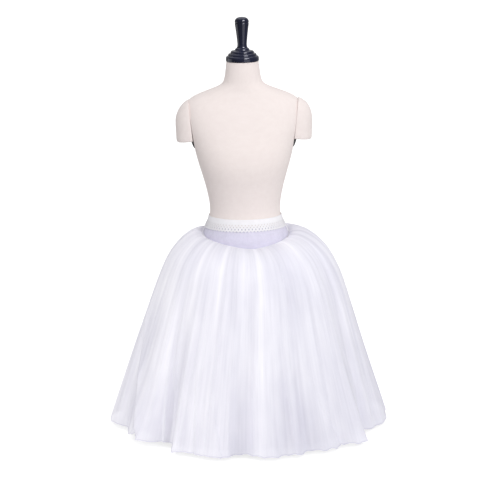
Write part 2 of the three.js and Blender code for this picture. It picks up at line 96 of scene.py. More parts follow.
def new_finish(name):
    """A material and its Principled shader."""
    finish = bpy.data.materials.new(name)
    finish.use_nodes = True
    return finish, finish.node_tree, finish.node_tree.nodes["Principled BSDF"]


def steady(shader, values):
    """Sets what is the same all over a finish."""
    for label, value in values.items():
        shader.inputs[label].default_value = value


def place(tree, kind, inputs=(), **settings):
    """A shader node with its settings made and its inputs set, or linked where a value is a socket."""
    made = tree.nodes.new("ShaderNode" + kind)
    for key, value in settings.items():
        setattr(made, key, value)
    for key, value in dict(inputs).items():
        if isinstance(value, bpy.types.NodeSocket):
            tree.links.new(value, made.inputs[key])
        else:
            made.inputs[key].default_value = value
    return made


def reckon(tree, operation, *values):
    """The result of a Math node."""
    return place(tree, "Math", dict(enumerate(values)), operation=operation).outputs[0]


def product(tree, first, *others):
    """Values multiplied one after another."""
    for other in others:
        first = reckon(tree, "MULTIPLY", first, other)
    return first


def blended(tree, share, start, end):
    """A colour between start and end. Inputs 0, 6 and 7 and output 2 are the Mix node's sockets for colours."""
    return place(tree, "Mix", {0: share, 6: start, 7: end}, data_type="RGBA").outputs[2]


def span_of(tree, value, low, high, to_low=0.0, to_high=1.0):
    """A value stretched from one range to another and held inside it."""
    inputs = {0: value, 1: low, 2: high, 3: to_low, 4: to_high}
    return place(tree, "MapRange", inputs, clamp=True).outputs[0]


def raised(tree, shader, height, strength, distance):
    """Raises and sinks the surface by a height that varies over it; distance is in metres."""
    bump = place(tree, "Bump", {"Height": height, "Strength": strength, "Distance": distance})
    tree.links.new(bump.outputs[0], shader.inputs["Normal"])


def effect_group(name, takes, gives):
    """A shader node group with its input and output sockets made."""
    tree = bpy.data.node_groups.new(name, "ShaderNodeTree")
    for label, kind, value in takes:
        socket = tree.interface.new_socket(label, in_out="INPUT", socket_type="NodeSocket" + kind)
        if value is not None:
            socket.default_value = value
    for label in gives:
        tree.interface.new_socket(label, in_out="OUTPUT", socket_type="NodeSocketFloat")
    return tree, tree.nodes.new("NodeGroupInput"), tree.nodes.new("NodeGroupOutput")


def use_group(tree, group, inputs):
    """One use of an effect group in a material, with its own values."""
    return place(tree, "Group", inputs, node_tree=group)


# The fine unevenness of a coat of paint or lacquer: a close orange-peel height, and a slow patchiness.
coat_grain, taken, given = effect_group(
    "coat_grain", [("Place", "Vector", None), ("Grains per metre", "Float", 900.0)], ["Height", "Patches"]
)
close = place(
    coat_grain, "TexNoise", {"Vector": taken.outputs[0], "Scale": taken.outputs[1], "Detail": 2.0, "Roughness": 0.5}
)
slow = place(coat_grain, "TexNoise", {"Vector": taken.outputs[0], "Scale": 14.0, "Detail": 4.0, "Roughness": 0.6})
coat_grain.links.new(close.outputs["Fac"], given.inputs["Height"])
coat_grain.links.new(slow.outputs["Fac"], given.inputs["Patches"])


def coated(name, colour, worn_colour, roughness, grains, height, coat=0.0, reflects=0.5):
    """A painted, lacquered or moulded finish with orange peel and patches of slightly different gloss."""
    finish, tree, shader = new_finish(name)
    where = place(tree, "TexCoord").outputs["Object"]
    grain = use_group(tree, coat_grain, {"Place": where, "Grains per metre": grains})
    patches = span_of(tree, grain.outputs["Patches"], 0.35, 0.7)
    tree.links.new(blended(tree, patches, colour, worn_colour), shader.inputs["Base Color"])
    gloss = span_of(tree, grain.outputs["Patches"], 0.3, 0.75, roughness * 0.85, roughness * 1.25)
    tree.links.new(gloss, shader.inputs["Roughness"])
    raised(tree, shader, grain.outputs["Height"], 0.25, height)
    steady(shader, {"Coat Weight": coat, "Coat Roughness": 0.08, "Specular IOR Level": reflects})
    return finish


white_enamel = coated(
    "white_enamel", (0.80, 0.80, 0.82, 1), (0.74, 0.74, 0.77, 1), roughness=0.32, grains=700, height=0.0002
)

foot_outline = [(0, 0), (157, 0), (160, 3), (160, 5.5), (159, 7.3), (157, 8), (60, 8.6), (34, 9.6), (29, 11.5)]
foot_outline += [(26.5, 15), (25, 21), (23, 24), (0, 24)]
tube_outline = [(0, 24.3), (12.5, 24.3), (12.5, 389.7), (0, 389.7)]
socket_outline = [(12.8, 355.7), (18.8, 355.7), (20.8, 357.7), (20.8, 379.5), (23, 381.7), (44, 385.7), (44, 389.7)]
socket_outline += [(12.8, 389.7), (12.8, 355.7)]
for node, outline in (
    ("stand_foot", foot_outline),
    ("stand_pole", tube_outline),
    ("stand_socket", socket_outline),
):
    piece = turned(node + "_enamelled", outline)
    piece.data.materials.append(white_enamel)
    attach(piece, "root")
    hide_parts(node)

# ---- Torso ------------------------------------------------
# A moulded shell with thin wadding, covered by fine cotton jersey that is pulled tight and sewn at the sides and
# the centre back. The armholes are cut flat, and the cover is turned in round them.
WAIST = 640  # millimetres; the top edge of the waistband, which every height below counts from
TORSO = [  # height, half width, depth to the front, depth to the back, middle, squareness of the outline
    (-250, 148, 88, 102, 0, 2.0),
    (-243, 157, 96, 111, 0, 2.0),
    (-222, 162, 101, 118, 0, 2.0),
    (-190, 163, 105, 121, 0, 2.0),
    (-155, 158, 108, 120, 0, 2.0),
    (-118, 149, 109, 116, 0, 2.0),
    (-83, 137.5, 107, 109, 0, 2.0),
    (-53, 126.5, 103, 100, 0, 2.0),
    (-25, 115, 96, 91, 0, 2.0),
    (0, 107, 90, 85, 0, 2.0),
    (22, 105.5, 89, 83, 0, 2.0),
    (50, 108.5, 92, 84, 0, 2.05),
    (90, 117, 101, 87, 0, 2.1),
    (127, 127, 112, 90, 0, 2.2),
    (160, 136.5, 117, 92, 0, 2.3),
    (199, 146.5, 113, 94, 0, 2.4),
    (232, 155, 104, 95, 1, 2.5),
    (265, 164, 94, 94, 2, 2.6),
    (300, 171, 83, 88, 4, 2.6),
    (328, 170, 73, 79, 6, 2.5),
    (345, 162, 66, 71, 7, 2.3),
    (358, 144, 61, 65, 7, 2.15),
    (371, 113, 57, 60, 7, 2.0),
    (383, 81, 55, 57, 6, 2.0),
    (394, 62, 53, 55, 5, 2.0),
    (410, 54.5, 51, 51, 3, 2.0),
    (434, 50.5, 49, 49, 1, 2.0),
    (459, 47.5, 47, 47, 0, 2.0),
]
NECK_TOP, UNDERSIDE = TORSO[-1][0], TORSO[0][0]
ROUND_CORNERS_UP = 345  # above this the rows of points lie closer, over the curve of the shoulders to the neck
# The armhole cuts: half width between them at a height, how far they lean out per millimetre up, and the lowest
# height that they can reach.
ARMHOLE_AT, ARMHOLE_AT_UP, ARMHOLE_SLOPE, UNDERARM_UP = 144.5, 200, 0.133, 145
COVER_SEAM_DEPTH, COVER_SEAMS_TO = 0.5, 340  # the hollow along the side and back seams, and how high it goes
COVER_ROUND, CAP_COVER_ROUND = 0.78, 0.32  # metres of jersey round the torso and round an arm cap


def smooth_through(at, rows, where):
    """Rows of numbers read at places between them, on a smooth curve through them all."""
    at, rows, where = np.asarray(at, float), np.asarray(rows, float), np.asarray(where, float)
    slopes = np.empty_like(rows)
    slopes[1:-1] = (rows[2:] - rows[:-2]) / (at[2:] - at[:-2])[:, None]
    slopes[0] = (rows[1] - rows[0]) / (at[1] - at[0])
    slopes[-1] = (rows[-1] - rows[-2]) / (at[-1] - at[-2])
    i = np.clip(np.searchsorted(at, where, side="right") - 1, 0, len(at) - 2)
    span = (at[i + 1] - at[i])[:, None]
    t = np.clip((where[:, None] - at[i][:, None]) / span, 0, 1)
    ends = (1 + 2 * t) * (1 - t) ** 2 * rows[i] + t * t * (3 - 2 * t) * rows[i + 1]
    pulls = t * (1 - t) ** 2 * span * slopes[i] + t * t * (t - 1) * span * slopes[i + 1]
    return ends + pulls


def torso_at(up):
    """Half width, front, back, middle and squareness of the torso at heights of any shape."""
    up = np.asarray(up, float)
    table = np.array(TORSO, float)
    return np.moveaxis(smooth_through(table[:, 0], table[:, 1:], up.ravel()).reshape(up.shape + (5,)), -1, 0)


def level_outline(section, angle, up, offset=0.0):
    """Points of level outlines at angles from the centre front towards +X, and the way straight out of them."""
    half_width, front, back, middle, square = section
    sin, cos = np.sin(angle), np.cos(angle)
    depth = np.where(cos > 0, front, back)
    way = np.stack(np.broadcast_arrays(sin / half_width, -cos / depth), -1)
    way = way / np.linalg.norm(way, axis=-1, keepdims=True)
    x = half_width * np.sign(sin) * np.abs(sin) ** (2 / square) + offset * way[..., 0]
    y = middle - depth * np.sign(cos) * np.abs(cos) ** (2 / square) + offset * way[..., 1]
    return np.stack(np.broadcast_arrays(x, y, WAIST + up), -1), way


def angles_round(count):
    """Column angles all round, from the centre back, through -X and the centre front."""
    return math.pi + np.arange(count) * math.tau / count


def skin(name, points, finish, width, down, joined=True, ends=False, marks=()):
    """A piece over a grid of points in millimetres, whose rows run down and columns run round towards +X. width is
    the whole width of its cloth and down the depth of each row in it, in metres, which is its UV map. joined
    closes it round, ends closes its top and bottom, and marks are values at its points."""
    rows, columns = points.shape[:2]
    at = np.arange(rows * columns).reshape(rows, columns)
    left = np.arange(columns if joined else columns - 1)
    right = (left + 1) % columns
    quads = np.stack([at[:-1][:, left], at[1:][:, left], at[1:][:, right], at[:-1][:, right]], -1)
    corners = points.reshape(-1, 3) / 1000
    faces = quads.reshape(-1, 4).tolist()
    if ends:
        corners = np.vstack([corners, points[0].mean(0) / 1000, points[-1].mean(0) / 1000])
        top, bottom = rows * columns, rows * columns + 1
        faces += [(top, int(a), int(b)) for a, b in zip(at[0], np.roll(at[0], -1))]
        faces += [(bottom, int(b), int(a)) for a, b in zip(at[-1], np.roll(at[-1], -1))]
    mesh = bpy.data.meshes.new(name)
    mesh.from_pydata(corners.tolist(), [], faces)
    mesh.materials.append(finish)
    across = np.linspace(0, width, len(left) + 1)
    uv = np.zeros(quads.shape + (2,))
    uv[..., 0] = np.stack([across[:-1], across[:-1], across[1:], across[1:]], -1)[None]
    uv[..., 1] = np.stack([down[:-1], down[1:], down[1:], down[:-1]], -1)[:, None]
    flat = np.zeros((len(mesh.loops), 2))
    flat[: quads.size] = uv.reshape(-1, 2)
    mesh.uv_layers.new(name="cloth").data.foreach_set("uv", flat.ravel())
    for label, values in dict(marks).items():
        kept = np.zeros(len(mesh.vertices), np.float32)
        kept[: values.size] = values.ravel()
        mesh.attributes.new(label, "FLOAT", "POINT").data.foreach_set("value", kept)
    mesh.shade_smooth()
    piece = bpy.data.objects.new(name, mesh)
    scene.collection.objects.link(piece)
    return piece


# Knitted cloth: upright ribs of stitches crossed by courses, with a little unevenness in the yarn.
knit, taken, given = effect_group(
    "knit",
    [("Cloth", "Vector", None), ("Wales per metre", "Float", 900.0), ("Courses per metre", "Float", 1100.0)],
    ["Height", "Unevenness"],
)
axes = place(knit, "SeparateXYZ", {0: taken.outputs["Cloth"]})
yarn = {"Vector": taken.outputs["Cloth"], "Scale": 60.0, "Detail": 5.0, "Roughness": 0.65}
uneven = place(knit, "TexNoise", yarn)
wale = reckon(knit, "SINE", product(knit, axes.outputs[0], taken.outputs["Wales per metre"], math.tau))
course = reckon(knit, "SINE", product(knit, axes.outputs[1], taken.outputs["Courses per metre"], math.tau))
loop_height = reckon(knit, "ADD", wale, product(knit, course, 0.6))
loop_height = reckon(knit, "ADD", product(knit, loop_height, 0.3), uneven.outputs["Fac"])
knit.links.new(loop_height, given.inputs["Height"])
knit.links.new(uneven.outputs["Fac"], given.inputs["Unevenness"])


def knitted(name, wales, courses, tone_from, low, high, dark, light):
    """A knitted cloth whose tone goes from dark to light as its height or its unevenness goes from low to high.
    Where its height sets the tone, its low places carry a painted shade.
    """
    finish, tree, shader = new_finish(name)
    cloth = place(tree, "UVMap", uv_map="cloth").outputs[0]
    loops = use_group(tree, knit, {"Cloth": cloth, "Wales per metre": wales, "Courses per metre": courses})
    tone = span_of(tree, loops.outputs[tone_from], low, high)
    tree.links.new(blended(tree, tone, dark, light), shader.inputs["Base Color"])
    return finish, tree, shader, cloth, loops.outputs["Height"]


jersey, tree, shader, cloth, loop_height = knitted(
    "jersey_cover", 800.0, 1000.0, "Unevenness", 0.3, 0.7, (0.84, 0.755, 0.735, 1), (0.87, 0.79, 0.77, 1)
)
raised(tree, shader, loop_height, 0.3, 0.0003)
steady(shader, {"Roughness": 0.85, "Specular IOR Level": 0.25, "Sheen Weight": 0.12, "Sheen Roughness": 0.6})


def cut_armhole(piece, side, start, keep_outside, slope=ARMHOLE_SLOPE):
    """Cuts a piece flat along the armhole, start millimetres outside the torso's own cut, and closes the cut."""
    lean = math.atan(slope)
    point = Vector((side * (ARMHOLE_AT + start / math.cos(lean)), 0, WAIST + ARMHOLE_AT_UP)) / 1000
    outward = Vector((side * math.cos(lean), 0, -math.sin(lean)))
    lowest = (WAIST + UNDERARM_UP) / 1000
    shape = bmesh.new()
    shape.from_mesh(piece.data)
    region = [f for f in shape.faces if all(v.co.z > lowest and v.co.x * side > 0 for v in f.verts)]
    reached = set(region) | {e for f in region for e in f.edges} | {v for f in region for v in f.verts}
    clear = {"clear_outer": not keep_outside, "clear_inner": keep_outside}
    made = bmesh.ops.bisect_plane(shape, geom=list(reached), plane_co=point, plane_no=outward, **clear)
    rim = [e for e in made["geom_cut"] if isinstance(e, bmesh.types.BMEdge)]
    bmesh.ops.contextual_create(shape, geom=rim, mat_nr=0, use_smooth=False)
    bmesh.ops.recalc_face_normals(shape, faces=shape.faces)
    shape.to_mesh(piece.data)
    shape.free()


heights = np.concatenate(
    [np.linspace(NECK_TOP, ROUND_CORNERS_UP, 40), np.linspace(340, -240, 118), np.linspace(-242, UNDERSIDE, 6)]
)
angle = angles_round(176)
points, way = level_outline(torso_at(heights[:, None]), angle[None], heights[:, None])
from_side = np.minimum(np.abs(np.abs(np.sin(angle)) - 1) * 60, 1)
from_back = np.minimum(np.abs(np.sin((angle - math.pi) / 2)) * 40, 1)
trough = COVER_SEAM_DEPTH * (1 - from_side) + COVER_SEAM_DEPTH * (1 - from_back)
points[..., :2] -= way * (trough[None, :, None] * (heights[:, None, None] < COVER_SEAMS_TO))
torso = skin("padded_torso", points, jersey, COVER_ROUND, (NECK_TOP - heights) / 1000, ends=True)
for side in (1, -1):
    cut_armhole(torso, side, 0, keep_outside=False)
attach(torso, "root")
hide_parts("form_torso")

# ---- Armhole plates ---------------------------------------
# Black moulded plates with a low crown, fixed over the two armhole cuts. Only slivers of them show below the arm
# caps, because their top is hidden in the cap's filling and is cut off there.
PLATE_SIZE, PLATE_UP, PLATE_GAP = (0.011, 0.036, 0.068), 268, 0.3  # half sizes in metres; middle; gap to the cut
black_plate = coated(
    "black_plate", (0.012, 0.010, 0.011, 1), (0.020, 0.017, 0.018, 1), roughness=0.5, grains=1400, height=0.0002
)
lean = math.atan(ARMHOLE_SLOPE)
for side, word, top in ((1, "left", 229.5), (-1, "right", 227)):
    bpy.ops.object.select_all(action="DESELECT")
    bpy.ops.mesh.primitive_uv_sphere_add(segments=56, ring_count=40, radius=1)
    plate = bpy.context.object
    plate.name = plate.data.name = "armhole_plate_" + word
    bpy.ops.object.mode_set(mode="EDIT")
    bpy.ops.mesh.select_all(action="SELECT")
    bpy.ops.transform.resize(value=PLATE_SIZE, center_override=(0, 0, 0))
    bpy.ops.transform.rotate(value=-side * lean, orient_axis="Y", center_override=(0, 0, 0))
    reach = ARMHOLE_AT + PLATE_GAP / math.cos(lean)
    middle_at = reach + ARMHOLE_SLOPE * (PLATE_UP - ARMHOLE_AT_UP)
    bpy.ops.transform.translate(value=(side * middle_at / 1000, 0, (WAIST + PLATE_UP) / 1000))
    on_cut = (side * reach / 1000, 0, (WAIST + ARMHOLE_AT_UP) / 1000)
    outward = (side * math.cos(lean), 0, -math.sin(lean))
    bpy.ops.mesh.select_all(action="SELECT")
    bpy.ops.mesh.bisect(plane_co=on_cut, plane_no=outward, use_fill=True, clear_inner=True)
    bpy.ops.mesh.select_all(action="SELECT")
    bpy.ops.mesh.bisect(plane_co=(0, 0, (WAIST + top) / 1000), plane_no=(0, 0, 1), use_fill=True, clear_outer=True)
    bpy.ops.mesh.select_all(action="SELECT")
    bpy.ops.mesh.normals_make_consistent(inside=False)
    bpy.ops.object.mode_set(mode="OBJECT")
    bpy.ops.object.shade_smooth_by_angle(angle=SMOOTH_UNDER)
    plate.data.materials.append(black_plate)
    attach(plate, "root")
    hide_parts("form_armhole_plate_" + word)

# ---- Arm caps ---------------------------------------------
# Short stuffed ends in the same jersey, hooked on the plates. Their flat side laps over the plate's edge and meets
# the torso's cover, and their lower rim droops towards the outside.
ARM_CAP = [  # height, middle, half width, half depth
    (226, 148, 46, 43),
    (227, 148, 50.5, 46.5),
    (230, 148, 53, 48.5),
    (236, 148, 54, 49.5),
    (250, 148, 54.5, 50),
    (275, 149, 54.5, 50),
    (300, 150, 52, 48),
    (318, 150, 46.5, 44),
    (333, 150, 37, 37),
    (344, 150, 24, 25),
    (350, 150, 12, 13),
]
CAP_TOP, CAP_RIM = ARM_CAP[-1][0], ARM_CAP[0][0]
RIM_FROM, RIM_DROOP = 262, 7.5  # the height below which the rim is moved, and how much more it droops outside
SEAM_ROLL, SEAM_ROLL_WIDE = 2.2, 9  # how far the filling rounds the cap off at its seam, and over what width
# Where each of these begins, and over how many millimetres it grows: the fuller top, the outside, the underarm.
FULL_TOP, OUTSIDE, UNDERARM = (290, 40), (146, 50), (310, 70)
heights = np.concatenate(
    [[CAP_TOP, 349.5, 348.5, 347], np.linspace(345, 238, 48), np.linspace(236, CAP_RIM, 14)]
)
angle = angles_round(200)
cap_table = np.array(ARM_CAP, float)
middle, reach, depth = smooth_through(cap_table[:, 0], cap_table[:, 1:], heights).T[:, :, None]
# How much wider each cap is, and its top beyond that, how much shorter it is, and its gap to the torso's cut.
cap_sides = ((1, "left", 0.5, 0.5, 5, 1.4), (-1, "right", -1.5, -4, 2, 3.6))
for side, word, fuller, top_fuller, shorter, gap in cap_sides:
    in_top = np.clip((heights[:, None] - FULL_TOP[0]) / FULL_TOP[1], 0, 1)
    section = (reach + fuller + top_fuller * in_top, depth, depth, 4, 2.0)
    points, way = level_outline(section, angle[None], heights[:, None])
    points[..., 0] += side * middle
    outer = np.clip((side * points[..., 0] - OUTSIDE[0]) / OUTSIDE[1], 0, 1)
    in_rim = np.clip((RIM_FROM - heights[:, None]) / (RIM_FROM - CAP_RIM), 0, 1)
    points[..., 2] += (shorter - RIM_DROOP * outer) * in_rim
    # The filling rounds the cap off towards its seam, most at the underarm.
    beyond = side * points[..., 0] - ARMHOLE_AT - ARMHOLE_SLOPE * (heights[:, None] - ARMHOLE_AT_UP)
    underarm = np.clip((UNDERARM[0] - heights[:, None]) / UNDERARM[1], 0.12, 1)
    rolled = SEAM_ROLL * underarm * np.clip(1 - beyond / SEAM_ROLL_WIDE, 0, 1.2) ** 2
    points[..., :2] -= way * rolled[..., None]
    cap = skin("arm_cap_" + word, points, jersey, CAP_COVER_ROUND, (CAP_TOP - heights) / 1000, ends=True)
    cut_armhole(cap, side, gap, keep_outside=True, slope=ARMHOLE_SLOPE - gap / 100)
    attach(cap, "root")
    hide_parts("form_arm_cap_" + word)

# ---- Neck cap ---------------------------------------------
# Wood turned on a lathe to steps, a bead and a tapering grip, and lacquered black. It is screwed to the neck. Its
# profile is (radius, height above the neck), from the middle of its underside to the middle of its dome.
black_lacquer = coated(
    "black_lacquer",
    (0.002, 0.0024, 0.006, 1),
    (0.0032, 0.0038, 0.009, 1),
    roughness=0.14,
    grains=400,
    height=0.00001,
    coat=0.12,
    reflects=0.1,
)
NECK_CAP = [(0, 0), (47.5, 0), (48.8, 1.5), (49, 6), (48.8, 10), (47.8, 13), (45.6, 15), (42.9, 15.9), (42.2, 16.8)]
NECK_CAP += [(42.1, 18.6), (41.2, 21), (39, 22.6), (35.6, 23.3), (34.8, 24.2), (34.6, 26.6), (33.6, 29), (31, 30.6)]
NECK_CAP += [(25.5, 31.4), (22.6, 32.2), (21.4, 33.4), (21, 35), (19.6, 37), (16.8, 39), (15, 42), (14.2, 46)]
NECK_CAP += [(14.1, 52), (15.2, 64), (16.6, 78), (18.6, 94), (20.4, 107), (20.8, 110.2), (20.4, 111.6)]
NECK_CAP += [(19.6, 112.4), (20.5, 113.4), (20.9, 115.5), (20.6, 118.5), (19.4, 121.8), (16.6, 125.2)]
NECK_CAP += [(12.4, 127.8), (6.4, 129.4), (0, 129.9)]
outline = np.array(NECK_CAP, float)
along = np.concatenate([[0], np.cumsum(np.linalg.norm(np.diff(outline, axis=0), axis=1))])
fine = smooth_through(along[1:], outline[1:], np.linspace(along[1], along[-1], 230))
fine[-1, 0] = 0
NECK_CAP_AT = NECK_TOP + 0.3
outline = [(0, NECK_CAP_AT + WAIST)] + [(max(float(r), 0.0), NECK_CAP_AT + WAIST + float(h)) for r, h in fine]
neck_cap = turned("turned_neck_cap", outline, steps=96, edge=0)
neck_cap.data.materials.append(black_lacquer)
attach(neck_cap, "root")
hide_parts("form_neck_cap")

# ---- Basque -----------------------------------------------
# Sheer stretch mesh in a front and a back piece, overlocked together at the sides. It runs from inside the
# waistband down to the tulle, and dips to a point at the front and the back.
SEAM_SIDE, SEAM_FRONT, SEAM_BACK, SEAM_ROUND = -53, -91, -66, 0.12
SEAM_TURN = math.radians(7)
BASQUE_TOP, UNDER_TULLE = -23, 20  # where it starts inside the band, and how far it goes on under the tulle
BASQUE_WIDE = 0.37  # metres, of each piece as it is stretched
BASQUE_EASE, BASQUE_RIPPLE = 1.2, 0.3  # how far off the body it lies, and how far it ripples


def seam_up(angle):
    """Height of the line where the tulle is sewn on."""
    turned_by = angle - SEAM_TURN
    from_front = np.abs(np.arctan2(np.sin(turned_by), np.cos(turned_by)))
    front = from_front < math.pi / 2
    towards_side = np.where(front, from_front, math.pi - from_front)
    point = np.where(front, SEAM_FRONT, SEAM_BACK)
    rounded = np.hypot(towards_side, SEAM_ROUND) - SEAM_ROUND
    whole = math.hypot(math.pi / 2, SEAM_ROUND) - SEAM_ROUND
    return point + (SEAM_SIDE - point) * rounded / whole


basque_mesh, tree, shader, cloth, loop_height = knitted(
    "basque_mesh", 1100.0, 700.0, "Unevenness", 0.35, 0.65, (0.81, 0.80, 0.98, 1), (0.84, 0.83, 1.0, 1)
)
tree.links.new(span_of(tree, loop_height, 0.0, 1.0, 0.62, 0.82), shader.inputs["Alpha"])
raised(tree, shader, loop_height, 0.4, 0.0003)
steady(shader, {"Roughness": 0.6, "Specular IOR Level": 0.3, "Sheen Weight": 0.3, "Sheen Roughness": 0.4})

for word, start in (("front", -math.pi / 2), ("back", math.pi / 2)):
    angle = start + math.pi * np.linspace(0.001, 0.999, 121)
    share = np.linspace(0, 1, 26)[:, None]
    up = BASQUE_TOP + (seam_up(angle)[None] - UNDER_TULLE - BASQUE_TOP) * share
    ease = BASQUE_EASE + BASQUE_RIPPLE * np.sin(angle * 9 + 1)[None] * np.sin(share * math.pi)
    points, _ = level_outline(torso_at(up), angle[None], up, ease)
    down = (BASQUE_TOP - up).mean(1) / 1000
    basque = skin("sheer_basque_" + word, points, basque_mesh, BASQUE_WIDE, down, joined=False)
    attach(basque, "root")
    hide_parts("basque_" + word)

# ---- Basque side seams ------------------------------------
# The overlocked edges of the front and the back piece, pressed together into a narrow ridge that stands a little
# off the body at each side. Several threads lie over the mesh there, so it is denser and whiter.
# The overlock's colour follows the height of its knitted loops, so the hollows between the loops carry a painted
# shade.
overlock, tree, shader, cloth, loop_height = knitted(
    "white_overlock", 1600.0, 650.0, "Height", 0.1, 0.9, (0.82, 0.81, 0.88, 1), (0.94, 0.93, 0.97, 1)
)
raised(tree, shader, loop_height, 0.6, 0.0005)
steady(shader, {"Roughness": 0.7, "Specular IOR Level": 0.25, "Sheen Weight": 0.2})
SIDE_SEAM_TOP, SIDE_SEAM_END, SIDE_SEAM_WIDE = -26, 3, 0.007  # height, how far above the tulle, metres
SIDE_SEAM_AT, SIDE_SEAM_SPREAD = 0.965, 0.045  # its place as a share of a quarter turn, and radians to each side
SIDE_SEAM_OFF, SIDE_SEAM_RIDGE = 1.8, 2.4  # how far off the body its edges lie, and how far its middle rises more
for word, middle_angle in (("left", math.pi / 2), ("right", -math.pi / 2)):
    across = np.linspace(-1, 1, 9)
    share = np.linspace(0, 1, 24)[:, None]
    angle = middle_angle * SIDE_SEAM_AT + across * SIDE_SEAM_SPREAD
    fall = seam_up(np.array(middle_angle)) + SIDE_SEAM_END - SIDE_SEAM_TOP
    up = SIDE_SEAM_TOP + fall * share + 0 * angle[None]
    ridge = SIDE_SEAM_OFF + SIDE_SEAM_RIDGE * np.cos(across * math.pi / 2)[None]
    ridge = ridge + 0.25 * np.sin(share * 90 + across[None] * 2)
    points, _ = level_outline(torso_at(up), angle[None], up, ridge)
    down = (SIDE_SEAM_TOP - up[:, 0]) / 1000
    seam = skin("basque_side_seam_" + word, points, overlock, SIDE_SEAM_WIDE, down, joined=False)
    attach(seam, "root")

# ---- Waistband --------------------------------------------
# One length of soft white elastic, closed at the back, with fine ribs, three rows of eyelets in its lower half
# and a looped lower edge. It is stretched round the waist and stitched over the top of the basque.
BAND_HEIGHT, BAND_THICKNESS, PICOTS, PICOT_DEPTH = 32, 1.4, 72, 4.2
BAND_ROUND = 0.69  # metres, stretched round the body
EYELET_PITCH, EYELET_ROWS_APART, MIDDLE_ROW = BAND_ROUND / PICOTS, 0.005, 0.017  # metres
EYELETS_FROM, EYELETS_TO = 0.0145, 0.0295  # metres below the top edge
LOOPS_FROM, LOOPS_OVER = 0.8, 0.2  # shares of its height
OFF_COVER, OVER_BASQUE, OVER_BASQUE_FROM = 0.7, 1.3, 18  # off the form, more over the basque, and how far down


def take_up(piece):
    """Selects a piece alone and makes it active, for the operators that follow."""
    bpy.ops.object.select_all(action="DESELECT")
    bpy.context.view_layer.objects.active = piece
    piece.select_set(True)


elastic, tree, shader, cloth, loop_height = knitted(
    "ribbed_elastic", 700.0, 620.0, "Unevenness", 0.3, 0.7, (0.88, 0.865, 0.90, 1), (0.93, 0.92, 0.95, 1)
)
axes = place(tree, "SeparateXYZ", {0: cloth})
sideways = reckon(tree, "COSINE", product(tree, axes.outputs[0], math.tau / EYELET_PITCH))
from_middle = reckon(tree, "SUBTRACT", axes.outputs[1], MIDDLE_ROW)
down_rows = reckon(tree, "COSINE", product(tree, from_middle, math.pi / EYELET_ROWS_APART))
lattice = product(tree, sideways, down_rows)
below_top_row = reckon(tree, "GREATER_THAN", axes.outputs[1], EYELETS_FROM)
above_loops = reckon(tree, "LESS_THAN", axes.outputs[1], EYELETS_TO)
eyelets = product(tree, span_of(tree, lattice, 0.5, 0.64), below_top_row, above_loops)
tree.links.new(reckon(tree, "SUBTRACT", 1.0, eyelets), shader.inputs["Alpha"])
raised_rims = product(tree, span_of(tree, lattice, 0.1, 0.6), below_top_row, above_loops, 1.5)
raised(tree, shader, reckon(tree, "ADD", loop_height, raised_rims), 0.5, 0.0005)
steady(shader, {"Roughness": 0.75, "Specular IOR Level": 0.25, "Sheen Weight": 0.15})

angle = angles_round(PICOTS * 8)
share = np.linspace(0, 1, 17)[:, None]
loop_drop = PICOT_DEPTH * np.abs(np.cos(angle * PICOTS / 2))
up = -share * BAND_HEIGHT - loop_drop[None] * np.clip((share - LOOPS_FROM) / LOOPS_OVER, 0, 1)
on_basque = np.clip((-up - OVER_BASQUE_FROM) / 5, 0, 1)
offset = OFF_COVER + BAND_THICKNESS + OVER_BASQUE * on_basque
points, _ = level_outline(torso_at(up), angle[None], up, offset)
band = skin("ribbed_waistband", points, elastic, BAND_ROUND, (share * BAND_HEIGHT / 1000).ravel())
take_up(band)
bpy.ops.object.modifier_add(type="SOLIDIFY")
band.modifiers[-1].thickness = BAND_THICKNESS / 1000
band.modifiers[-1].offset = -1
bpy.ops.object.modifier_apply(modifier=band.modifiers[-1].name)
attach(band, "root")
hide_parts("waistband")

# ---- Tulle ------------------------------------------------
# Three layers of soft nylon net, each a long slightly flared strip gathered to the seam line of the basque, one
# under another. They stand out over the hips on their own stiffness and then hang in deep soft folds to a raw hem.
SHELF_REACH = 255  # the reach at which a layer stands level all round and has lost the body's shape
OFF_BODY = 2.0  # how far off the body the gathered edge is sewn
PLEATS_FULL_AT, HIP_TURN = 12, 150  # how far down the pleats are full, and where the cloth turns over the hip
ROWS_CLOSE_UP = 1.25  # the rows of points lie closer at the top by this power
HEM_SWAY, HEM_PULL, HEM_ONLY = 1.6, 0.35, 8  # how the hem goes up and down; HEM_ONLY keeps that to its edge
RAW_EDGE, THINNEST, THICKEST = 14, 2.8, 9  # depth of the raw edge, and the layers of net that pleats add up to
# reach at the side, height, shift towards +X, share of the folds, how far the ring follows the seam's dip
OUTER_RINGS = [
    (0, 0, 0, 0, 1),
    (141, -45, 2, 0, 1),
    (164, -46, 5, 0.01, 0.84),
    (195, -64, 8, 0.02, 0.56),
    (227, -96, 10, 0.03, 0.26),
    (250, -131, 11, 0.03, 0.08),
    (276, -190, 12, 0.04, 0),
    (307, -283, 9, 0.08, 0),
    (352, -430, 4, 0.34, 0),
    (410, -626, 0, 1, 0),
]
MIDDLE_RINGS = [
    (0, 0, 0, 0, 1),
    (147, -54, 3, 0, 1),
    (190, -76, 7, 0.08, 0.58),
    (233, -132, 10, 0.18, 0.1),
    (262, -207, 11, 0.35, 0),
    (312, -392, 5, 0.7, 0),
    (374, -620, 0, 1, 0),
]
INNER_RINGS = [
    (0, 0, 0, 0, 1),
    (151, -65, 3, 0, 1),
    (187, -87, 6, 0.08, 0.6),
    (221, -140, 9, 0.18, 0.1),
    (244, -212, 10, 0.35, 0),
    (284, -396, 5, 0.7, 0),
    (338, -612, 0, 1, 0),
]
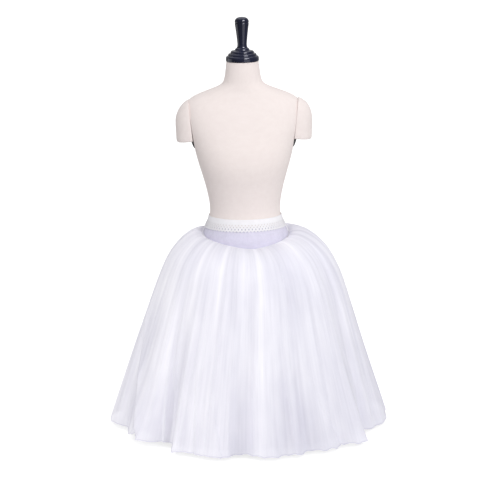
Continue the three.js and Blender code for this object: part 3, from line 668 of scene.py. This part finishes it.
# Crests and hollows of the big folds: degrees from the centre front towards +X, and how far out at the hem.
OUTER_FOLDS = [(-90, 5), (-84, 2), (-73, -14), (-66, -10), (-54, 5), (-47, 0), (-39, -24), (-32, 8), (-27, -2)]
OUTER_FOLDS += [(-22, 2), (-15, 18), (-9, 22), (-5, -6), (-1, -5), (4, 14), (10, 22), (14, 5), (20, 19), (24, 4)]
OUTER_FOLDS += [(33, 28), (40, 5), (50, 30), (62, -16), (68, -6), (76, 10), (84, 14), (96, 10), (109, -22)]
OUTER_FOLDS += [(121, 19), (131, -14), (142, 17), (150, -7), (158, 13), (168, -18), (179, 21), (190, -13)]
OUTER_FOLDS += [(199, 15), (207, -5), (217, 19), (229, -23), (241, 16), (253, -15)]
MIDDLE_FOLDS = [(-90, 4), (-76, -6), (-66, 2), (-53, -27), (-40, -15), (-29, 9), (-16, -8), (-2, 13), (12, -12)]
MIDDLE_FOLDS += [(25, 10), (38, -13), (52, 14), (68, -14), (84, 8), (101, -11), (117, 13), (134, -12), (152, 12)]
MIDDLE_FOLDS += [(170, -11), (187, 12), (200, -9), (212, 10), (228, -18), (240, -10), (254, 9)]
INNER_FOLDS = [(-90, 8), (-64, -9), (-38, 10), (-14, -9), (10, 9), (33, -10), (58, 9), (82, -8), (107, 10)]
INNER_FOLDS += [(133, -9), (160, 9), (186, -10), (212, 9), (241, -8)]
# How much shorter the raw hem was cut, at the edge of the panel on the left.
OUTER_CUT_SHORT = [(-64, 0), (-58, 10), (-53.5, 20), (-50, 15), (-44, 6), (-36, 0), (180, 0)]
# Sharp folds: where they start down the skirt, their angle there, half way and at the hem, how far they stand out
# at the hem, and how many degrees their gentle side spreads over, negative where it lies towards +X.
OUTER_SHARP = [(0.38, -91, -69, -51, 25, -13), (0.12, -36, -42, -34, 5, -6), (0.15, -3, 0.5, 2, 4, 5)]
OUTER_SHARP += [(0.6, -17, -15.5, -11, 7, 5), (0.45, -27, -25, -22, 6, -7), (0.5, 27, 31, 39, 7, 8)]
OUTER_SHARP += [(0.45, 46, 60, 53, 15, 15), (0.3, 15, 17, 19, 5, -6), (0.5, -46, -44, -42, 7, -5)]
OUTER_SHARP += [(0.4, 84, 80, 86, 6, 9), (0.3, 112, 118, 121, 7, -10), (0.5, 138, 141, 146, 6, 8)]
OUTER_SHARP += [(0.2, -33, -36, -38, 3.4, 3), (0.15, -24, -27, -30, 3.2, -3)]
OUTER_SHARP += [(0.1, -14, -17, -19, 3, 3), (0.35, -8, -9, -8, 3.2, -3), (0.05, -62, -66, -64, 3.4, -4)]
OUTER_SHARP += [(0.2, 160, 163, 170, 6, -8), (0.45, 183, 184, 181, 7, 9), (0.3, 205, 203, 201, 6, -7)]
OUTER_SHARP += [(0.5, 222, 226, 221, 8, 10), (0.35, 246, 243, 240, 6, -9), (0.55, 260, 262, 258, 6, 7)]
MIDDLE_SHARP = [(0.3, -60, -56, -52, 7, -9), (0.4, -20, -17, -14, 6, 7), (0.5, 24, 27, 30, 7, -8)]
MIDDLE_SHARP += [(0.3, 60, 66, 62, 6, 9), (0.4, 120, 124, 126, 7, -9), (0.5, 175, 172, 170, 6, 8)]
MIDDLE_SHARP += [(0.4, 225, 228, 232, 7, -9)]


def fold_out(folds, angle):
    """How far the folds stand out at each angle, smooth from each crest to the next hollow."""
    at = np.array([row[0] for row in folds] + [folds[0][0] + 360], float)
    out = np.array([row[1] for row in folds] + [folds[0][1]], float)
    degrees = (np.degrees(angle) - at[0]) % 360 + at[0]
    i = np.clip(np.searchsorted(at, degrees, side="right") - 1, 0, len(at) - 2)
    ease = 0.5 - 0.5 * np.cos(math.pi * (degrees - at[i]) / (at[i + 1] - at[i]))
    return out[i] + (out[i + 1] - out[i]) * ease


def small_pleats(angle, down, count, seed):
    """Uneven pleats, about count of them round the skirt, that wander a little on their way down; about -1 to 1."""
    chance = np.random.default_rng(seed)
    fewest, most = int(count * 0.7), int(count * 1.35)
    waves = chance.integers(fewest, most, 16)
    starts = chance.uniform(0, math.tau, 16)
    drifts = chance.uniform(-2.4, 2.4, 16)

    def summed(waves, bend):
        rows = zip(waves, starts, bend * drifts)
        return sum(np.cos(wave * angle[None] + start + drift * down[:, None]) for wave, start, drift in rows)

    total = summed(waves, 1) / math.sqrt(8)
    slow = summed(chance.integers(2, 12, 8), 3)
    crowded = np.clip(0.75 + 0.4 * slow / 2, 0.15, 1.5)
    return (0.75 * total + 0.25 * (1 - 2 * np.minimum(np.abs(total), 1.2))) * crowded


def sharp_folds(folds, angle, down):
    """How far the sharp folds stand out. Each rises gently from one side, to 0.6 of its depth, drops back steeply
    on the other, to 0.4 below the cloth, and eases out there."""
    total = np.zeros((len(down), len(angle)))
    for start, start_at, mid_at, hem_at, depth, spread in folds:
        share = np.clip((down - start) / (1 - start), 0, 1)
        bend = start_at + hem_at - 2 * mid_at
        line = np.radians(start_at + (hem_at - start_at - 2 * bend) * share + 2 * bend * share**2)[:, None]
        beside = np.degrees((angle[None] - line + math.pi) % math.tau - math.pi) * np.sign(spread)
        gentle = 0.6 * np.clip(1 + beside / abs(spread), 0, 1) ** 2
        drop = min(1.2, 0.5 + abs(spread) / 12)
        steep = np.interp(beside, [0, drop], [0.6, -0.4])
        behind = -0.4 * np.clip(1 - (beside - drop) / abs(spread), 0, 1) ** 2
        profile = np.where(beside < 0, gentle, np.where(beside < drop, steep, behind))
        total += profile * (share * share * (3 - 2 * share) * depth)[:, None]
    return total


def stray_creases(count, seed):
    """Rows of slight sharp folds, scattered round the skirt, that start at any height and wander a little."""
    chance = np.random.default_rng(seed)
    rows = []
    for at in np.linspace(0, 360, count, endpoint=False) + chance.uniform(-3, 3, count):
        start, depth, spread = chance.uniform(0.0, 0.55), chance.uniform(0.3, 1.4), chance.uniform(2, 6)
        depth *= 1 - 0.4 * math.sin(math.radians(at))
        first, second = chance.normal(0, 1.2, 2)
        rows.append((start, at, at + first, at + first + second, depth, spread * chance.choice([-1, 1])))
    return rows


def gathered_layer(name, finish, rings, folds, sharp, cut_short, sewn, columns, rows, pleats, net_width, seed):
    """One layer of net. sewn is how far below the seam line it is caught down, pleats are (how many round, depth at
    the seam, at the turn of the hip, at the hem), and net_width is the metres of net whose streaks go round."""
    angle = angles_round(columns)
    dip = seam_up(angle)
    start_half, start_front, start_back = torso_at(float(SEAM_SIDE))[:3]
    base, way, share = [], [], []
    for k, (reach, height, aside, fold, follows) in enumerate(rings):
        if k == 0:
            up = dip - sewn
            on_line, out = level_outline(torso_at(up), angle, up, OFF_BODY)
            level, upright = 1.0, 0.0
        else:
            grown = min(max((reach - start_half) / (SHELF_REACH - start_half), 0), 1)
            front = reach - (start_half - start_front) * (1 - grown)
            back = reach - (start_half - start_back) * (1 - grown)
            above = (start_half, SEAM_SIDE - sewn) if k == 1 else rings[k - 1]
            below = rings[min(k + 1, len(rings) - 1)]
            run, fall = below[0] - above[0], below[1] - above[1]
            level, upright = -fall / math.hypot(run, fall), run / math.hypot(run, fall) * (1 - grown)
            up = height + (dip - SEAM_SIDE) * follows
            on_line, out = level_outline((reach, front, back, 0, 2.0), angle, up)
            on_line[:, 0] += aside
        base.append(on_line)
        way.append(np.column_stack([out * level, np.full(columns, upright)]))
        share.append(fold)
    side = [(start_half + OFF_BODY, SEAM_SIDE - sewn)] + [row[:2] for row in rings[1:]]
    at = np.concatenate([[0], np.cumsum(np.linalg.norm(np.diff(np.array(side), axis=0), axis=1))])
    down = at[-1] * np.linspace(0, 1, rows) ** ROWS_CLOSE_UP
    base = smooth_through(at, np.reshape(base, (len(rings), -1)), down).reshape(rows, columns, 3)
    way = smooth_through(at, np.reshape(way, (len(rings), -1)), down).reshape(rows, columns, 3)
    share = smooth_through(at, np.array(share)[:, None], down)
    creased = sharp_folds(sharp, angle, down / at[-1])
    out = fold_out(folds, angle)[None] * share + creased
    for i, (count, at_seam, at_hip, at_hem) in enumerate(pleats):
        depth = np.interp(down, [0, PLEATS_FULL_AT, HIP_TURN, at[-1]], [at_seam * 0.6, at_seam, at_hip, at_hem])
        out = out + small_pleats(angle, down / at[-1], count, seed + i) * depth[:, None]
    points = base + way * out[..., None]
    wander = small_pleats(angle, down / at[-1], 60, seed + 9) * (down[:, None] / at[-1]) ** 6
    near_hem = (down[:, None] / at[-1]) ** HEM_ONLY
    points[..., 2] += HEM_SWAY * wander + (fold_out(cut_short, angle) - HEM_PULL * creased) * near_hem
    step = np.linalg.norm(np.roll(base, -1, 1) - np.roll(base, 1, 1), axis=-1)
    steep = (np.roll(out, -1, 1) - np.roll(out, 1, 1)) / step
    round_length = np.linalg.norm(np.roll(base, -1, 1) - base, axis=-1).sum(1)
    thickness = net_width * 1000 / round_length[:, None] * np.sqrt(1 + steep**2)
    raw_edge = np.clip(1 - (at[-1] - down[:, None]) / RAW_EDGE, 0, 1) + 0 * thickness
    marks = {"net_thickness": np.clip(thickness, THINNEST, THICKEST), "raw_edge": raw_edge}
    return skin(name, points, finish, net_width, down / 1000, marks=marks)


# Gathered net: long uneven streaks that run down the cloth where pleats lie close, slow broad drifts that carry
# only painted light and shade, and the net's own small cells.
gathered_net, taken, given = effect_group(
    "gathered_net",
    [("Cloth", "Vector", None), ("Streaks per metre", "Float", 220.0), ("Cells per metre", "Float", 800.0)],
    ["Streaks", "Broad streaks", "Painted shading drifts", "Threads"],
)
for socket, across, lengthwise in (("Streaks", 1.0, 3.2), ("Broad streaks", 0.1, 1.6), ("Painted shading drifts", 0.026, 2.5)):
    axes = place(gathered_net, "SeparateXYZ", {0: taken.outputs["Cloth"]})
    run_across = product(gathered_net, axes.outputs[0], taken.outputs["Streaks per metre"], across)
    run_down = product(gathered_net, axes.outputs[1], lengthwise)
    stretched = place(gathered_net, "CombineXYZ", {0: run_across, 1: run_down}).outputs[0]
    noise = place(gathered_net, "TexNoise", {"Vector": stretched, "Scale": 1.0, "Detail": 3.0, "Roughness": 0.6})
    gathered_net.links.new(noise.outputs["Fac"], given.inputs[socket])
cells = place(
    gathered_net,
    "TexVoronoi",
    {"Vector": taken.outputs["Cloth"], "Scale": taken.outputs["Cells per metre"], "Randomness": 0.15},
    feature="DISTANCE_TO_EDGE",
)
threads = span_of(gathered_net, cells.outputs["Distance"], 0.05, 0.3, 1.0, 0.0)
gathered_net.links.new(threads, given.inputs["Threads"])


SINGLE_COVER = 0.6  # how much of the view one layer of net covers
# Painted shade and painted light: the net's colour runs between these two, standing in for the shading on its
# gathers and folds.
NET_PAINTED_SHADE, NET_PAINTED_LIGHT = (0.705, 0.695, 0.80, 1), (0.95, 0.94, 1.0, 1)


def soft_net(name, seed):
    """Soft nylon net. Its cover grows with the thickness of cloth at each point, and streaks vary its cover. Its
    colour runs between a painted shade and a painted light with the streaks, the broad streaks and the drifts,
    standing in for the light and shade on its gathers and folds, and it is darker along the raw edge."""
    finish, tree, shader = new_finish(name)
    cloth = place(tree, "UVMap", uv_map="cloth").outputs[0]
    moved = place(tree, "Mapping", {"Vector": cloth, "Location": (seed * 8.3, seed * 1.3, 0)}).outputs[0]
    net = use_group(tree, gathered_net, {"Cloth": moved})
    thickness = place(tree, "Attribute", attribute_name="net_thickness").outputs["Fac"]
    streaks = span_of(tree, net.outputs["Streaks"], 0.25, 0.75, 0.92, 1.08)
    broad = span_of(tree, net.outputs["Broad streaks"], 0.3, 0.7, 0.78, 1.26)
    threads = span_of(tree, net.outputs["Threads"], 0.0, 1.0, 0.8, 1.4)
    layers = product(tree, thickness, streaks, broad, threads)
    cover = reckon(tree, "SUBTRACT", 1.0, reckon(tree, "POWER", 1.0 - SINGLE_COVER, layers))
    tree.links.new(cover, shader.inputs["Alpha"])
    drifts = span_of(tree, net.outputs["Painted shading drifts"], 0.3, 0.7, 0.62, 1.48)
    # Painted light and shade: the streaks, broad streaks and drifts lighten and darken the net's colour the way
    # light falls on its gathers and folds.
    tone = span_of(tree, product(tree, streaks, broad, drifts), 0.4, 1.8)
    raw_edge = reckon(tree, "POWER", place(tree, "Attribute", attribute_name="raw_edge").outputs["Fac"], 6.0)
    tone = reckon(tree, "SUBTRACT", tone, product(tree, raw_edge, 0.9))
    tree.links.new(blended(tree, tone, NET_PAINTED_SHADE, NET_PAINTED_LIGHT), shader.inputs["Base Color"])
    raised(tree, shader, net.outputs["Streaks"], 0.12, 0.001)
    steady(shader, {"Roughness": 0.8, "Specular IOR Level": 0.2, "Sheen Weight": 0.2, "Sheen Roughness": 0.5})
    return finish


EVEN_HEM = [(0, 0), (180, 0)]
INNER_PLEATS = [(120, 0.5, 0.2, 0.1), (44, 0.4, 1.2, 2.2)]
MIDDLE_PLEATS = [(150, 0.4, 0.1, 0.1), (50, 0.3, 0.6, 1.5)]
OUTER_PLEATS = [(210, 0.25, 0.03, 0.02), (80, 0.15, 0.06, 0.05), (34, 0.05, 0.15, 0.5), (13, 0, 2.2, 7.5)]
MIDDLE_SHARP += stray_creases(60, 6)
OUTER_SHARP += stray_creases(84, 5)
# For each layer, what gathered_layer takes after its name and finish, in the same order.
LAYERS = {
    "inner": (INNER_RINGS, INNER_FOLDS, [], EVEN_HEM, 16, 480, 56, INNER_PLEATS, 2.0, 40),
    "middle": (MIDDLE_RINGS, MIDDLE_FOLDS, MIDDLE_SHARP, EVEN_HEM, 8, 640, 64, MIDDLE_PLEATS, 2.5, 60),
    "outer": (OUTER_RINGS, OUTER_FOLDS, OUTER_SHARP, OUTER_CUT_SHORT, 0, 960, 92, OUTER_PLEATS, 2.8, 80),
}
tulle = {}
for number, (word, made) in enumerate(LAYERS.items(), 1):
    tulle[word] = gathered_layer("soft_tulle_" + word, soft_net("soft_net_" + word, number), *made)
    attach(tulle[word], "root")
    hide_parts("tulle_" + word)

# ---- Seam between basque and tulle ------------------------
# The gathered edge of the outer layer is turned in and caught down on the basque with one row of small zigzag
# stitches, which leaves a narrow raised white line all round.
LINE_HALF_WIDE, LINE_RISE, LINE_ROUND, LINE_UP = 1.9, 1.3, 0.8, 0.6  # LINE_ROUND in metres
PUCKERS, PUCKER_UP, PUCKER_OUT = 190, 0.25, 0.35
angle = angles_round(900)
across_line = np.linspace(-1, 1, 7)[:, None]
puckers = small_pleats(angle, np.zeros(1), PUCKERS, 7)
up = seam_up(angle)[None] + LINE_UP - across_line * LINE_HALF_WIDE + PUCKER_UP * puckers
crown = np.cos(across_line * math.pi / 2)
swell = OFF_BODY + LINE_RISE * crown + PUCKER_OUT * puckers * crown
points, _ = level_outline(torso_at(up), angle[None], up, swell)
seam_line = skin("gathered_seam_line", points, overlock, LINE_ROUND, (across_line.ravel() + 1) * 0.002)
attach(seam_line, "root")

STITCH_ENDS, STITCH_UP, STITCH_TALL, STITCH_ON = 480, 0.5, 1.3, 3.35
THREAD_RADIUS = 0.00028  # metres
angle = angles_round(STITCH_ENDS)
up = seam_up(angle) + STITCH_UP + STITCH_TALL * (-1.0) ** np.arange(STITCH_ENDS)
points, _ = level_outline(torso_at(up), angle, up, STITCH_ON)
thread = bpy.data.curves.new("seam_stitches", "CURVE")
thread.dimensions = "3D"
thread.bevel_depth = THREAD_RADIUS
thread.bevel_resolution = 1
run = thread.splines.new("POLY")
run.points.add(STITCH_ENDS - 1)
run.points.foreach_set("co", np.column_stack([points / 1000, np.ones(STITCH_ENDS)]).ravel())
run.use_cyclic_u = True
stitches = bpy.data.objects.new("seam_stitches", thread)
scene.collection.objects.link(stitches)
take_up(stitches)
bpy.ops.object.convert(target="MESH")
stitches = bpy.context.object
spun, tree, shader = new_finish("spun_thread")
where = place(tree, "TexCoord").outputs["Object"]
grain = use_group(tree, coat_grain, {"Place": where, "Grains per metre": 2500.0})
# The thread's colour follows the height of its grain, so its low spots carry a painted shade.
tone = blended(tree, grain.outputs["Height"], (0.78, 0.77, 0.82, 1), (0.95, 0.94, 0.96, 1))
tree.links.new(tone, shader.inputs["Base Color"])
raised(tree, shader, grain.outputs["Height"], 0.5, 0.0002)
steady(shader, {"Roughness": 0.6})
stitches.data.materials.append(spun)
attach(stitches, "root")

# ---- Floor, light and surroundings ------------------------
# A plain white studio sweep, lit softly from above and from the front right, so that the left side is a little
# darker. Not part of the object.
bpy.ops.object.select_all(action="DESELECT")
bpy.ops.mesh.primitive_plane_add(size=240, location=(0, 0, -0.0006))
floor = bpy.context.object
floor.name = "studio_floor"
paper, tree, shader = new_finish("white_paper")
steady(shader, {"Base Color": (0.68, 0.68, 0.68, 1), "Roughness": 1.0, "Specular IOR Level": 0.0})
steady(shader, {"Emission Color": (1, 1, 1, 1)})
FLOOR_GLOW, WORLD_LIGHT = 0.78, 0.73  # the floor glows only as the camera sees it, so that the paper stays white
seen = place(tree, "LightPath").outputs["Is Camera Ray"]
tree.links.new(reckon(tree, "MULTIPLY", seen, FLOOR_GLOW), shader.inputs["Emission Strength"])
floor.data.materials.append(paper)


def softbox(name, where, aim, size, power, only_on=(), tint=(1, 1, 1)):
    """A large square light, aimed at a point. Flags keep it off all pieces but those that only_on names."""
    data = bpy.data.lights.new(name, "AREA")
    data.shape = "SQUARE"
    data.size = size
    data.energy = power
    data.color = tint
    light = bpy.data.objects.new(name, data)
    turn = (Vector(aim) - Vector(where)).to_track_quat("-Z", "Y").to_matrix().to_4x4()
    light.matrix_world = Matrix.Translation(where) @ turn
    light.visible_camera = False
    scene.collection.objects.link(light)
    if only_on:
        flagged = bpy.data.collections.new(name + "_reach")
        for piece_name in only_on:
            flagged.objects.link(bpy.data.objects[piece_name])
        light.light_linking.receiver_collection = flagged


softbox("key_softbox", (1.9, -4.6, 3.0), (0, 0, 0.8), 1.8, 58)
softbox("top_softbox", (-0.4, 0.2, 4.2), (0, 0, 0.8), 2.4, 6)
skirt_pieces = ["soft_tulle_" + word for word in ("outer", "middle", "inner")]
upper_pieces = ["padded_torso", "arm_cap_left", "arm_cap_right", "turned_neck_cap", "ribbed_waistband"]
upper_pieces += ["armhole_plate_left", "armhole_plate_right", "sheer_basque_front", "sheer_basque_back"]
upper_pieces += ["basque_side_seam_left", "basque_side_seam_right"]
softbox("upper_key", (1.9, -4.6, 3.2), (0, 0, 0.9), 1.8, 66, only_on=upper_pieces)
for name, where, size, power in (
    ("lacquer_box_right", (0.85, -1.36, 0.66), 1.3, 22),
    ("lacquer_box_left", (-1.6, 0.28, 0.68), 1.3, 14),
    ("lacquer_box_above", (-0.1, 0.5, 2.6), 1.8, 26),
    ("lacquer_box_high", (1.17, -1.61, 2.84), 1.3, 240),
):
    softbox(name, where, (0, 0, 1.17), size, power, only_on=["turned_neck_cap"], tint=(0.9, 0.9, 1))
softbox("low_fill_left", (-3.8, -2.2, 0.9), (0, 0, 0.35), 1.8, 57, only_on=skirt_pieces, tint=(1, 0.99, 0.95))
softbox("low_fill_right", (4.2, -0.6, 1.3), (0, 0, 0.4), 1.8, 13, only_on=skirt_pieces, tint=(0.86, 0.87, 1))
softbox("hip_fill_right", (0.9, -1.1, 1.6), (0.15, -0.15, 0.62), 0.6, 5, only_on=skirt_pieces)
world = bpy.data.worlds.new("studio_white")
world.use_nodes = True
tree = world.node_tree
background = tree.nodes["Background"]
background.inputs["Color"].default_value = (1, 1, 1, 1)
seen = place(tree, "LightPath").outputs["Is Camera Ray"]
tree.links.new(reckon(tree, "MAXIMUM", seen, WORLD_LIGHT), background.inputs["Strength"])
scene.world = world
scene.view_settings.view_transform = "Standard"
scene.cycles.transparent_max_bounces = 48
